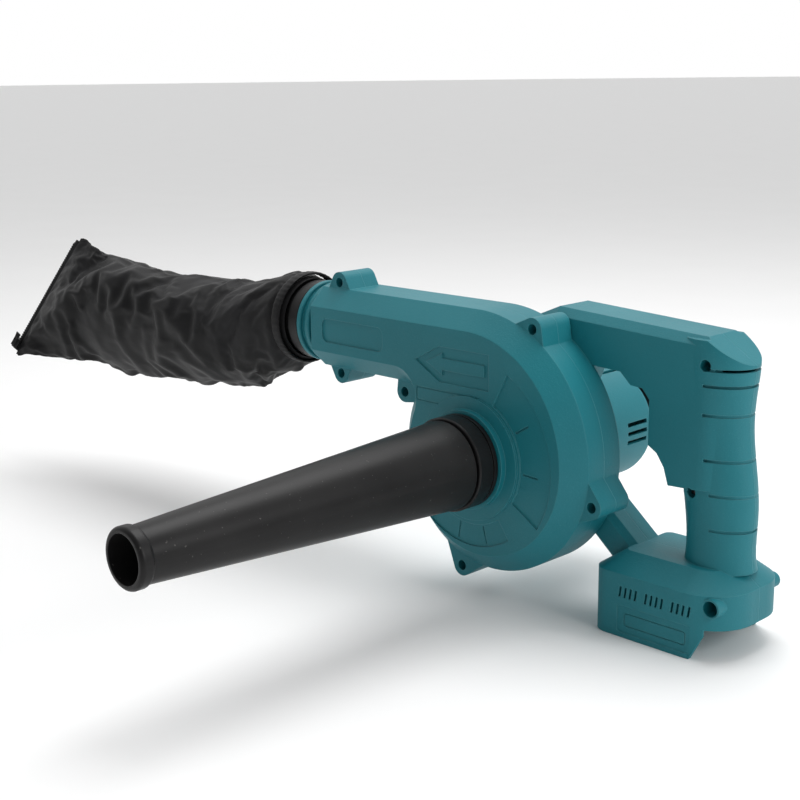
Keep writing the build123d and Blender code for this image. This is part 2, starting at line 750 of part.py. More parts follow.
def make_bag_collar():
    """Hard collar of the dust bag, plugged into the outlet ring."""
    ring = rod_x(BAG_COLLAR_R, BAG_COLLAR_END, RING_END)
    ring = chamfer(ring.edges().filter_by(GeomType.CIRCLE), 0.8)
    ring += rod_x(RING_BORE - FIT, RING_END - 1, DUCT_END)
    ring += rod_x(27, -202, BAG_COLLAR_END + 1)
    ring += rod_x(28, -202, -199.5)
    return ring - rod_x(RING_BORE - 2.2, -210, DUCT_END + 1)


# Sections of the bag from the neck towards the seam: x, y, z, half height, half thickness, and
# how far the section leans from upright towards the end seam
BAG_SECTIONS = [
    (-183, 0, 68.5, 30.0, 30.0, 0.0),
    (-200, 0, 67.5, 33.5, 33.0, 0.0),
    (-240, -1, 56.5, 40.5, 38.0, 0.0),
    (-320, -5, 50.0, 45.5, 43.0, 0.0),
    (-400, -12, 44.5, 48.5, 40.0, 0.1),
    (-460, -18, 47.0, 52.0, 27.0, 0.45),
    (-492, -23.5, 50.5, 56.0, 14.0, 0.8),
]
BAG_AXIS = Vector(-1, -0.25, 0)
CLOTH = 1.5
SEAM_TOP = Vector(-492, -6, 106)
SEAM_LOW = Vector(-545, -50, -1)
SEAM_MID = (SEAM_TOP + SEAM_LOW) / 2
SEAM_DIR = (SEAM_TOP - SEAM_LOW).normalized()
SEAM_HALF = (SEAM_TOP - SEAM_LOW).length / 2
SEAM_HALF_THICK = 4.5


def bag_section(origin, high, thick, lean):
    """Oval section across the bag that leans from upright towards the end seam."""
    up = (Vector(0, 0, 1) * (1 - lean) + SEAM_DIR * lean).normalized()
    along = BAG_AXIS * lean + Vector(-1, 0, 0) * (1 - lean)
    plane = Plane(origin=origin, x_dir=up, z_dir=along - up * along.dot(up))
    return plane * Ellipse(high, thick)


def bag_ovals(skin):
    """Sections of the bag, a given distance inside the cloth, tighter where the bag flattens."""
    ovals = []
    for x, y, z, high, thick, lean in BAG_SECTIONS:
        tighter = 2 if lean > 0.4 else 1
        ovals.append(bag_section((x, y, z), high - skin * tighter, thick - skin, lean))
    return ovals


def make_dust_bag():
    """Cloth bag: open at the neck where the collar goes in, sewn flat at the end seam."""
    seam = bag_section(SEAM_MID, SEAM_HALF, SEAM_HALF_THICK, 1.0)
    outside = loft(bag_ovals(0) + [seam])
    inside = Pos(CLOTH, 0, 0) * loft(bag_ovals(CLOTH))
    return outside - inside


def make_bag_band():
    """Elastic band that holds the cloth on the collar."""
    return tube_x(34.5, 31.5, -194, -186)


def seam_bar(half_length, half_width, x0, x1):
    """Bar along the end seam, between two distances outside it."""
    across = (BAG_AXIS - SEAM_DIR * BAG_AXIS.dot(SEAM_DIR)).normalized()
    plane = Plane(origin=SEAM_MID + across * x0, x_dir=SEAM_DIR, z_dir=across)
    return extrude(plane * Rectangle(2 * half_length, 2 * half_width), amount=x1 - x0)


def make_zip_tape():
    """Closed zip along the end seam of the bag."""
    return seam_bar(SEAM_HALF - 4, 1.6, 0.4, 4.5)


def make_zip_slider():
    """Zip slider parked at the lower end of the seam."""
    parked = Pos(*(SEAM_DIR * -(SEAM_HALF - 10)))
    return parked * (seam_bar(4.5, 4.2, 1.5, 7.5) - seam_bar(6, 1.9, 0, 5.0))


# Export ---------------------------------------------------------------------------------------

PIECES = {
    "volute_front": make_volute_front,
    "housing_near": make_housing_near,
    "housing_far": make_housing_far,
    "volute_screws": make_volute_screws,
    "handle_screws": make_handle_screws,
    "motor_screws": make_motor_screws,
    "impeller": make_impeller,
    "impeller_nut": make_impeller_nut,
    "motor_shaft": make_motor_shaft,
    "motor_can": make_motor_can,
    "motor_magnets": make_motor_magnets,
    "armature_core": make_armature_core,
    "windings": make_windings,
    "commutator": make_commutator,
    "front_bearing": make_front_bearing,
    "rear_bearing": make_rear_bearing,
    "motor_end_cap": make_motor_end_cap,
    "brush_holders": make_brush_holders,
    "carbon_brushes": make_carbon_brushes,
    "brush_springs": make_brush_springs,
    "trigger": make_trigger,
    "switch_plunger": make_switch_plunger,
    "trigger_spring": make_trigger_spring,
    "switch_body": make_switch_body,
    "terminal_block": make_terminal_block,
    "battery_terminals": make_battery_terminals,
    "controller_board": make_controller_board,
    "heatsink": make_heatsink,
    "nozzle_collar": make_nozzle_collar,
    "nozzle": make_nozzle,
    "outlet_ring": make_outlet_ring,
    "bag_collar": make_bag_collar,
    "dust_bag": make_dust_bag,
    "bag_band": make_bag_band,
    "zip_tape": make_zip_tape,
    "zip_slider": make_zip_slider,
}


def export_pieces():
    """Write one STEP file for each piece, in the finished part's frame."""
    os.makedirs("parts", exist_ok=True)
    for name, make in PIECES.items():
        made = make()
        solids = made.solids() if hasattr(made, "solids") else [s for item in made for s in item.solids()]
        placed = [Pos(*(-ORIGIN)) * solid for solid in solids]
        shape = placed[0] if len(placed) == 1 else Compound(children=placed)
        export_step(shape, f"parts/{name}.step")


export_pieces()
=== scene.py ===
"""Looks of a cordless blower with its collecting bag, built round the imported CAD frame.

Every length is in metres in the row frame: +X towards the grip, +Z up, the nozzle along -Y.
"""

import logging
import math
from collections.abc import Callable, Iterable
from dataclasses import dataclass
from enum import Enum

import bmesh
import bpy
from mathutils import Matrix, Vector, noise


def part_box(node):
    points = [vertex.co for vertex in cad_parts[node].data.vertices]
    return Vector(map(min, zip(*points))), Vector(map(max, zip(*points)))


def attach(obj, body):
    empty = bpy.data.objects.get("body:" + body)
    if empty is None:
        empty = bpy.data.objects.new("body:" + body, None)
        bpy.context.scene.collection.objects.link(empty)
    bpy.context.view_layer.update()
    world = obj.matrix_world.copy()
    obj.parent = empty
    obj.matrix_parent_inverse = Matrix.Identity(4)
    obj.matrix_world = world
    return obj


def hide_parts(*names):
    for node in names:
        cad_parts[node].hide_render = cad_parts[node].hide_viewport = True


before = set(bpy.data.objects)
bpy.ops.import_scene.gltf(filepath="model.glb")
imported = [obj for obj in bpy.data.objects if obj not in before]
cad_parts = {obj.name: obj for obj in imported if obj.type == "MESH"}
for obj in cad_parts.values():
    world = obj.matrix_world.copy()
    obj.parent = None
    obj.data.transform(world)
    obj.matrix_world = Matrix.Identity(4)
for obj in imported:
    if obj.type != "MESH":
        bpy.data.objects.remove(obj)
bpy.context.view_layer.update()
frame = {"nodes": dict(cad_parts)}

LOG = logging.getLogger("blower")
MM = 0.001

Colour = tuple[float, float, float]


class Slot(Enum):
    """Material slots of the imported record."""

    TEAL = "teal_housing"
    RUBBER = "black_rubber"
    HARD_BLACK = "black_plastic"
    CLOTH = "bag_cloth"
    FAN = "fan_plastic"
    STEEL = "steel"
    IRON = "iron"
    MAGNET = "magnet"
    COPPER = "copper"
    BRASS = "brass"
    CARBON = "carbon"
    BOARD = "board"
    ALUMINIUM = "aluminium"


class Body(Enum):
    """Moving bodies that the new pieces ride on."""

    BAG = "bag"
    ZIP = "zip"


# Shader sockets -------------------------------------------------------------------------------


class Value:
    """One number socket; arithmetic on it adds the Math nodes."""

    def __init__(self, recipe: "Recipe", socket: bpy.types.NodeSocket) -> None:
        """Wraps a socket of a recipe's node tree."""
        self.recipe = recipe
        self.socket = socket

    def _math(self, operation: str, first: "Value | float", second: "Value | float") -> "Value":
        """Adds one Math node.

        Args:
            operation: Blender's name of the operation.
            first: its first number or socket.
            second: its second number or socket.

        Returns:
            The node's result.
        """
        made = self.recipe.node(
            "ShaderNodeMath", {"operation": operation}, {0: first, 1: second}
        )
        return Value(self.recipe, made.outputs[0])

    def __add__(self, other: "Value | float") -> "Value":
        """Sum."""
        return self._math("ADD", self, other)

    __radd__ = __add__

    def __sub__(self, other: "Value | float") -> "Value":
        """Difference."""
        return self._math("SUBTRACT", self, other)

    def __rsub__(self, other: float) -> "Value":
        """Number minus this socket."""
        return self._math("SUBTRACT", other, self)

    def __mul__(self, other: "Value | float") -> "Value":
        """Product."""
        return self._math("MULTIPLY", self, other)

    __rmul__ = __mul__

    def stretched(self, low: float, high: float) -> "Value":
        """This socket mapped from low..high to 0..1 and held there."""
        made = self.recipe.node(
            "ShaderNodeMapRange", {"clamp": True}, {0: self, 1: low, 2: high}
        )
        return Value(self.recipe, made.outputs[0])


class Recipe:
    """Node tree of one material, with the Principled shader it ends in."""

    def __init__(self, name: str) -> None:
        """Starts a material with a Principled shader and object coordinates."""
        self.material = bpy.data.materials.new(name)
        self.material.use_nodes = True
        self.tree = self.material.node_tree
        self.tree.nodes.clear()
        self.output = self.node("ShaderNodeOutputMaterial")
        self.shader = self.node("ShaderNodeBsdfPrincipled")
        self.tree.links.new(self.shader.outputs[0], self.output.inputs[0])
        self.coords = self.node("ShaderNodeTexCoord").outputs["Object"]

    def node(
        self,
        kind: str,
        settings: dict[str, object] | None = None,
        sockets: dict[int | str, object] | None = None,
    ) -> bpy.types.Node:
        """Adds one node.

        Args:
            kind: the node's type.
            settings: its own settings.
            sockets: values or links of its inputs, by name or number.

        Returns:
            The new node.
        """
        made = self.tree.nodes.new(kind)
        for key, value in (settings or {}).items():
            setattr(made, key, value)
        for key, value in (sockets or {}).items():
            self.feed(made.inputs[key], value)
        return made

    def feed(self, socket: bpy.types.NodeSocket, value: object) -> None:
        """Links or sets one input.

        Args:
            socket: the input.
            value: a Value, a socket, a number, a colour or a vector.
        """
        if isinstance(value, Value):
            self.tree.links.new(value.socket, socket)
        elif isinstance(value, bpy.types.NodeSocket):
            self.tree.links.new(value, socket)
        elif socket.type == "RGBA":
            socket.default_value = (*value, 1.0)
        else:
            socket.default_value = value

    def grain(
        self,
        scale: float,
        detail: float = 2.0,
        stretch: Colour = (1.0, 1.0, 1.0),
        turn: Colour = (0.0, 0.0, 0.0),
    ) -> Value:
        """Noise over the surface.

        Args:
            scale: cells per metre.
            detail: octaves.
            stretch: scale of each axis before the noise.
            turn: rotation of the pattern, in radians.

        Returns:
            The noise, about 0.5.
        """
        placed = self.node(
            "ShaderNodeMapping",
            sockets={"Vector": self.coords, "Scale": stretch, "Rotation": turn},
        )
        made = self.node(
            "ShaderNodeTexNoise",
            sockets={"Vector": placed.outputs[0], "Scale": scale, "Detail": detail},
        )
        return Value(self, made.outputs[0])

    def bands(self, scale: float, direction: str, coords: bpy.types.NodeSocket) -> Value:
        """Straight sine bands.

        Args:
            scale: Blender's wave scale.
            direction: X, Y or Z.
            coords: coordinates of the pattern.

        Returns:
            The bands, 0 to 1.
        """
        made = self.node(
            "ShaderNodeTexWave",
            {"wave_type": "BANDS", "bands_direction": direction},
            {"Vector": coords, "Scale": scale, "Distortion": 0.0},
        )
        return Value(self, made.outputs["Fac"])

    def blend(self, share: Value | float, first: object, second: object) -> bpy.types.NodeSocket:
        """Mixes two colours.

        Args:
            share: how much of the second.
            first: a colour or socket.
            second: a colour or socket.

        Returns:
            The mixed colour.
        """
        made = self.node(
            "ShaderNodeMix", {"data_type": "RGBA"}, {0: share, 6: first, 7: second}
        )
        return made.outputs[2]

    def rounded(self, radius: float) -> bpy.types.NodeSocket:
        """Normal with every edge eased by a radius."""
        made = self.node("ShaderNodeBevel", {"samples": 6}, {"Radius": radius})
        return made.outputs[0]

    def edge(self, eased: bpy.types.NodeSocket) -> Value:
        """Mask that is above zero only along eased edges."""
        flat = self.node("ShaderNodeNewGeometry").outputs["Normal"]
        agree = self.node(
            "ShaderNodeVectorMath", {"operation": "DOT_PRODUCT"}, {0: eased, 1: flat}
        )
        return (1.0 - Value(self, agree.outputs["Value"])).stretched(0.01, 0.22)

    def bump(
        self,
        height: Value,
        strength: float,
        depth: float,
        under: bpy.types.NodeSocket | None = None,
    ) -> bpy.types.NodeSocket:
        """Relief.

        Args:
            height: the pattern.
            strength: share of the relief that shows.
            depth: metres from its low to its high.
            under: a normal to build on.

        Returns:
            The normal.
        """
        sockets: dict[int | str, object] = {
            "Height": height,
            "Strength": strength,
            "Distance": depth,
        }
        if under is not None:
            sockets["Normal"] = under
        return self.node("ShaderNodeBump", sockets=sockets).outputs[0]

    def finish(self, **inputs: object) -> bpy.types.Material:
        """Feeds the shader and gives the material.

        Args:
            inputs: Principled inputs, with underscores for spaces.

        Returns:
            The material.
        """
        for key, value in inputs.items():
            self.feed(self.shader.inputs[key.replace("_", " ")], value)
        return self.material


# Finishes -------------------------------------------------------------------------------------


@dataclass(frozen=True)
class MouldedPlastic:
    """Spark-textured moulding with eased, slightly rubbed edges."""

    name: str
    deep: Colour
    pale: Colour
    rubbed: Colour
    edge_rub: float = 0.4
    roughness: float = 0.45
    texture_per_m: float = 1500.0
    texture_depth: float = 0.00016
    edge_radius: float = 0.0009
    shine: float = 0.36

    def make(self) -> bpy.types.Material:
        """Builds the material."""
        recipe = Recipe(self.name)
        eased = recipe.rounded(self.edge_radius)
        cloud = recipe.grain(11.0, 4.0).stretched(0.35, 0.68)
        texture = recipe.grain(self.texture_per_m, 3.0)
        coarse = recipe.grain(self.texture_per_m * 0.45, 1.0)
        scuff = recipe.grain(60.0, 5.0, (1.0, 0.3, 1.0)).stretched(0.62, 0.8)
        colour = recipe.blend(cloud, self.deep, self.pale)
        colour = recipe.blend(texture.stretched(0.58, 0.78) * 0.16, colour, self.rubbed)
        rub = recipe.edge(eased) * (0.4 + recipe.grain(45.0, 3.0)) * self.edge_rub
        colour = recipe.blend(rub, colour, self.rubbed)
        rough = self.roughness + texture * 0.16 - scuff * 0.05 - cloud * 0.04
        normal = recipe.bump(texture + coarse, 0.55, self.texture_depth, eased)
        return recipe.finish(
            Base_Color=colour, Roughness=rough, Normal=normal, Specular_IOR_Level=self.shine
        )


@dataclass(frozen=True)
class SoftRubber:
    """Satin moulded rubber with faint dust and drag marks."""

    name: str
    deep: Colour = (0.0075, 0.0072, 0.0075)
    worn: Colour = (0.018, 0.0175, 0.0175)
    dust: Colour = (0.12, 0.115, 0.11)

    def make(self) -> bpy.types.Material:
        """Builds the material."""
        recipe = Recipe(self.name)
        eased = recipe.rounded(0.0008)
        cloud = recipe.grain(16.0, 5.0).stretched(0.35, 0.7)
        drag = recipe.grain(38.0, 4.0, (1.0, 0.12, 1.0)).stretched(0.45, 0.75)
        skin = recipe.grain(900.0, 2.0)
        specks = recipe.grain(520.0, 1.0).stretched(0.735, 0.78)
        colour = recipe.blend(cloud * 0.7, self.deep, self.worn)
        colour = recipe.blend(specks * 0.55, colour, self.dust)
        rough = 0.36 + cloud * 0.08 + drag * 0.07 + specks * 0.2
        normal = recipe.bump(skin + drag * 0.6, 0.3, 0.00012, eased)
        return recipe.finish(
            Base_Color=colour, Roughness=rough, Normal=normal, Specular_IOR_Level=0.2
        )


@dataclass(frozen=True)
class BagWeave:
    """Thin coated nylon: fine plain weave, rubbed patches, crease ridges painted lighter as a
    painted sheen, pressed-in creases.
    """

    name: str
    deep: Colour = (0.0055, 0.0055, 0.0060)
    # Lighter tone of the rubbed patches; the same tone is laid along crease ridges as painted
    # sheen.
    rubbed: Colour = (0.026, 0.026, 0.028)
    thread_waves: float = 320.0
    crease_depth: float = 0.0026

    def make(self) -> bpy.types.Material:
        """Builds the material."""
        recipe = Recipe(self.name)
        weave = recipe.node("ShaderNodeUVMap", {"uv_map": "weave"}).outputs[0]
        warp = recipe.bands(self.thread_waves, "X", weave)
        weft = recipe.bands(self.thread_waves, "Y", weave)
        crumple = recipe.grain(26.0, 5.0, (0.7, 1.0, 1.3), (0.3, 0.5, 0.2))
        ridged = recipe.node(
            "ShaderNodeTexNoise",
            {"noise_type": "RIDGED_MULTIFRACTAL"},
            {"Vector": recipe.coords, "Scale": 17.0, "Detail": 2.5},
        )
        crease = Value(recipe, ridged.outputs[0]).stretched(0.35, 1.6)
        blotch = recipe.grain(20.0, 6.0).stretched(0.46, 0.74)
        colour = recipe.blend(blotch * 0.6, self.deep, self.rubbed)
        # Painted sheen: the crease ridges are blended towards the lighter tone.
        colour = recipe.blend(crease * 0.28, colour, self.rubbed)
        rough = 0.52 + blotch * 0.1 - crease * 0.06 + warp * 0.03
        thread = recipe.bump(warp * weft, 0.35, 0.00008)
        folds = recipe.bump(crumple + crease * 0.55, 0.55, self.crease_depth, thread)
        return recipe.finish(
            Base_Color=colour,
            Roughness=rough,
            Normal=folds,
            Sheen_Weight=0.03,
            Sheen_Roughness=0.4,
            Specular_IOR_Level=0.2,
        )


@dataclass(frozen=True)
class WorkedMetal:
    """Metal with machining marks, a little tarnish and brighter edges."""

    name: str
    colour: Colour
    tarnish: Colour
    roughness: float = 0.3
    marks: Colour = (1.0, 14.0, 1.0)
    metallic: float = 1.0

    def make(self) -> bpy.types.Material:
        """Builds the material."""
        recipe = Recipe(self.name)
        eased = recipe.rounded(0.0003)
        turned = recipe.grain(220.0, 3.0, self.marks)
        stain = recipe.grain(90.0, 5.0).stretched(0.42, 0.75)
        colour = recipe.blend(stain * 0.7, self.colour, self.tarnish)
        colour = recipe.blend(recipe.edge(eased) * 0.35, colour, self.colour)
        rough = self.roughness + turned * 0.14 + stain * 0.12
        normal = recipe.bump(turned, 0.3, 0.00005, eased)
        return recipe.finish(
            Base_Color=colour, Roughness=rough, Metallic=self.metallic, Normal=normal
        )


@dataclass(frozen=True)
class WoundWire:
    """Varnished copper turns laid side by side."""

    name: str
    bright: Colour = (0.55, 0.16, 0.06)
    dark: Colour = (0.16, 0.035, 0.014)

    def make(self) -> bpy.types.Material:
        """Builds the material."""
        recipe = Recipe(self.name)
        turned = recipe.node(
            "ShaderNodeMapping",
            sockets={"Vector": recipe.coords, "Rotation": (0.2, 0.35, 0.1)},
        ).outputs[0]
        wires = recipe.bands(230.0, "X", turned)
        cloud = recipe.grain(140.0, 3.0).stretched(0.35, 0.7)
        colour = recipe.blend(wires, self.dark, self.bright)
        colour = recipe.blend(cloud * 0.3, colour, self.dark)
        normal = recipe.bump(wires, 0.8, 0.0004)
        return recipe.finish(
            Base_Color=colour, Roughness=0.28 + cloud * 0.15, Metallic=0.85, Normal=normal
        )


@dataclass(frozen=True)
class PressedCarbon:
    """Pressed carbon with a fine open grain."""

    name: str

    def make(self) -> bpy.types.Material:
        """Builds the material."""
        recipe = Recipe(self.name)
        grain = recipe.grain(1600.0, 3.0)
        streak = recipe.grain(200.0, 2.0, (1.0, 1.0, 6.0))
        colour = recipe.blend(streak, (0.012, 0.012, 0.013), (0.045, 0.045, 0.048))
        normal = recipe.bump(grain, 0.5, 0.00008, recipe.rounded(0.0003))
        return recipe.finish(Base_Color=colour, Roughness=0.55 + grain * 0.2, Normal=normal)


@dataclass(frozen=True)
class CircuitBoard:
    """Green lacquer over copper tracks."""

    name: str

    def make(self) -> bpy.types.Material:
        """Builds the material."""
        recipe = Recipe(self.name)
        tracks = recipe.node(
            "ShaderNodeTexBrick",
            sockets={
                "Vector": recipe.coords,
                "Scale": 260.0,
                "Mortar Size": 0.09,
                "Color1": (0.0, 0.0, 0.0),
                "Color2": (0.1, 0.1, 0.1),
                "Mortar": (1.0, 1.0, 1.0),
            },
        ).outputs[0]
        cloud = recipe.grain(120.0, 3.0)
        base = recipe.blend(cloud, (0.006, 0.06, 0.022), (0.01, 0.09, 0.035))
        track = Value(recipe, tracks)
        colour = recipe.blend(track * 0.6, base, (0.03, 0.2, 0.07))
        normal = recipe.bump(track, 0.4, 0.00008, recipe.rounded(0.0003))
        return recipe.finish(Base_Color=colour, Roughness=0.22 + cloud * 0.12, Normal=normal)


@dataclass(frozen=True)
class StudioPaper:
    """Pale matt floor with a barely seen mottle."""

    name: str

    def make(self) -> bpy.types.Material:
        """Builds the material."""
        recipe = Recipe(self.name)
        mottle = recipe.grain(7.0, 4.0)
        colour = recipe.blend(mottle, (0.90, 0.90, 0.90), (0.93, 0.93, 0.93))
        return recipe.finish(Base_Color=colour, Roughness=0.6 + mottle * 0.1)


FINISHES = {
    Slot.TEAL: MouldedPlastic(
        "teal_moulding", (0.0040, 0.152, 0.186), (0.0060, 0.172, 0.208), (0.13, 0.42, 0.46)
    ),
    Slot.RUBBER: SoftRubber("nozzle_rubber"),
    Slot.HARD_BLACK: MouldedPlastic(
        "black_moulding",
        (0.008, 0.008, 0.0085),
        (0.012, 0.012, 0.0125),
        (0.05, 0.05, 0.052),
        edge_rub=0.3,
        roughness=0.3,
        texture_per_m=1100.0,
        texture_depth=0.00008,
        edge_radius=0.0006,
        shine=0.22,
    ),
    Slot.CLOTH: BagWeave("bag_nylon"),
    Slot.FAN: MouldedPlastic(
        "fan_moulding",
        (0.018, 0.018, 0.019),
        (0.028, 0.028, 0.029),
        (0.08, 0.08, 0.08),
        roughness=0.4,
        edge_radius=0.0005,
    ),
    Slot.STEEL: WorkedMetal("zinc_steel", (0.42, 0.42, 0.43), (0.16, 0.155, 0.15)),
    Slot.IRON: WorkedMetal(
        "stacked_iron", (0.30, 0.30, 0.31), (0.10, 0.075, 0.06), 0.42, (1.0, 60.0, 1.0)
    ),
    Slot.MAGNET: WorkedMetal(
        "ferrite", (0.06, 0.06, 0.065), (0.03, 0.03, 0.03), 0.5, (1.0, 1.0, 1.0), 0.35
    ),
    Slot.COPPER: WoundWire("varnished_copper"),
    Slot.BRASS: WorkedMetal("pressed_brass", (0.72, 0.50, 0.20), (0.33, 0.20, 0.07), 0.26),
    Slot.CARBON: PressedCarbon("brush_carbon"),
    Slot.BOARD: CircuitBoard("green_board"),
    Slot.ALUMINIUM: WorkedMetal("cast_aluminium", (0.70, 0.71, 0.72), (0.4, 0.4, 0.41), 0.34),
}

BLACKENED_STEEL = WorkedMetal("blackened_screw", (0.10, 0.10, 0.105), (0.035, 0.033, 0.03), 0.24)
SCREW_NODES = ("volute_screws", "handle_screws")


class PaintShop:
    """Makes each finish once and dresses the CAD nodes and new pieces in it."""

    def __init__(self) -> None:
        """Makes every slot's material."""
        self.materials = {slot: finish.make() for slot, finish in FINISHES.items()}

    def dress(self, piece: bpy.types.Object, material: bpy.types.Material) -> None:
        """Puts one material on all of a piece.

        Args:
            piece: a CAD node or a new piece.
            material: what it is made of.
        """
        if not piece.material_slots:
            piece.data.materials.append(material)
        for held in piece.material_slots:
            held.material = material

    def dress_frame(self, nodes: dict[str, bpy.types.Object]) -> None:
        """Gives every CAD node the finish of its own slot.

        Args:
            nodes: CAD nodes by name.
        """
        for name, node in nodes.items():
            slot = Slot(node.material_slots[0].name)
            self.dress(node, self.materials[slot])
            LOG.info("%s: %s", name, slot.value)

    def dress_screws(self, nodes: dict[str, bpy.types.Object]) -> None:
        """Blackens the housing screws.

        Args:
            nodes: CAD nodes by name.
        """
        blackened = BLACKENED_STEEL.make()
        for name in SCREW_NODES:
            self.dress(nodes[name], blackened)

    def fit(self, piece: bpy.types.Object, body: Body, slot: Slot) -> None:
        """Sets a new piece on its body, in its slot's finish.

        Args:
            piece: the new piece.
            body: what it moves with.
            slot: its finish.
        """
        self.dress(piece, self.materials[slot])
        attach(piece, body.value)
        LOG.info("%s rides on %s", piece.name, body.value)


# Modelling moves ------------------------------------------------------------------------------


def take(piece: bpy.types.Object) -> None:
    """Selects one piece alone and makes it active."""
    bpy.ops.object.select_all(action="DESELECT")
    piece.select_set(True)
    bpy.context.view_layer.objects.active = piece


def added(name: str) -> bpy.types.Object:
    """Names the primitive that was just added."""
    piece = bpy.context.object
    piece.name = name
    piece.data.name = name
    take(piece)
    return piece


def settle(piece: bpy.types.Object) -> None:
    """Moves a piece's place into its mesh."""
    take(piece)
    bpy.ops.object.transform_apply(location=True, rotation=True, scale=True)


def modify(piece: bpy.types.Object, kind: str, **settings: object) -> None:
    """Adds one modifier and applies it.

    Args:
        piece: the piece.
        kind: Blender's modifier type.
        settings: the modifier's settings.
    """
    take(piece)
    modifier = piece.modifiers.new(kind.title(), kind)
    for key, value in settings.items():
        setattr(modifier, key, value)
    bpy.ops.object.modifier_apply(modifier=modifier.name)


def pick_faces(piece: bpy.types.Object, wanted: Callable[[Vector, Vector], bool]) -> None:
    """Selects faces in edit mode by place and normal.

    Args:
        piece: the piece, in edit mode.
        wanted: says whether a face with this centre and normal is picked.
    """
    bpy.ops.mesh.select_all(action="DESELECT")
    mesh = bmesh.from_edit_mesh(piece.data)
    mesh.normal_update()
    for face in mesh.faces:
        if wanted(face.calc_center_median(), face.normal):
            face.select_set(True)
    bmesh.update_edit_mesh(piece.data)


def soften(piece: bpy.types.Object, degrees: float = 40.0) -> None:
    """Shades a piece smooth across shallow edges."""
    take(piece)
    bpy.ops.object.shade_smooth_by_angle(angle=math.radians(degrees))


# Dust bag -------------------------------------------------------------------------------------


@dataclass(frozen=True)
class Hoop:
    """One section of the bag: its centre, its reach up, down and sideways, and its lean."""

    centre: tuple[float, float, float]
    up: float
    down: float
    side: float
    lean: float = 0.0


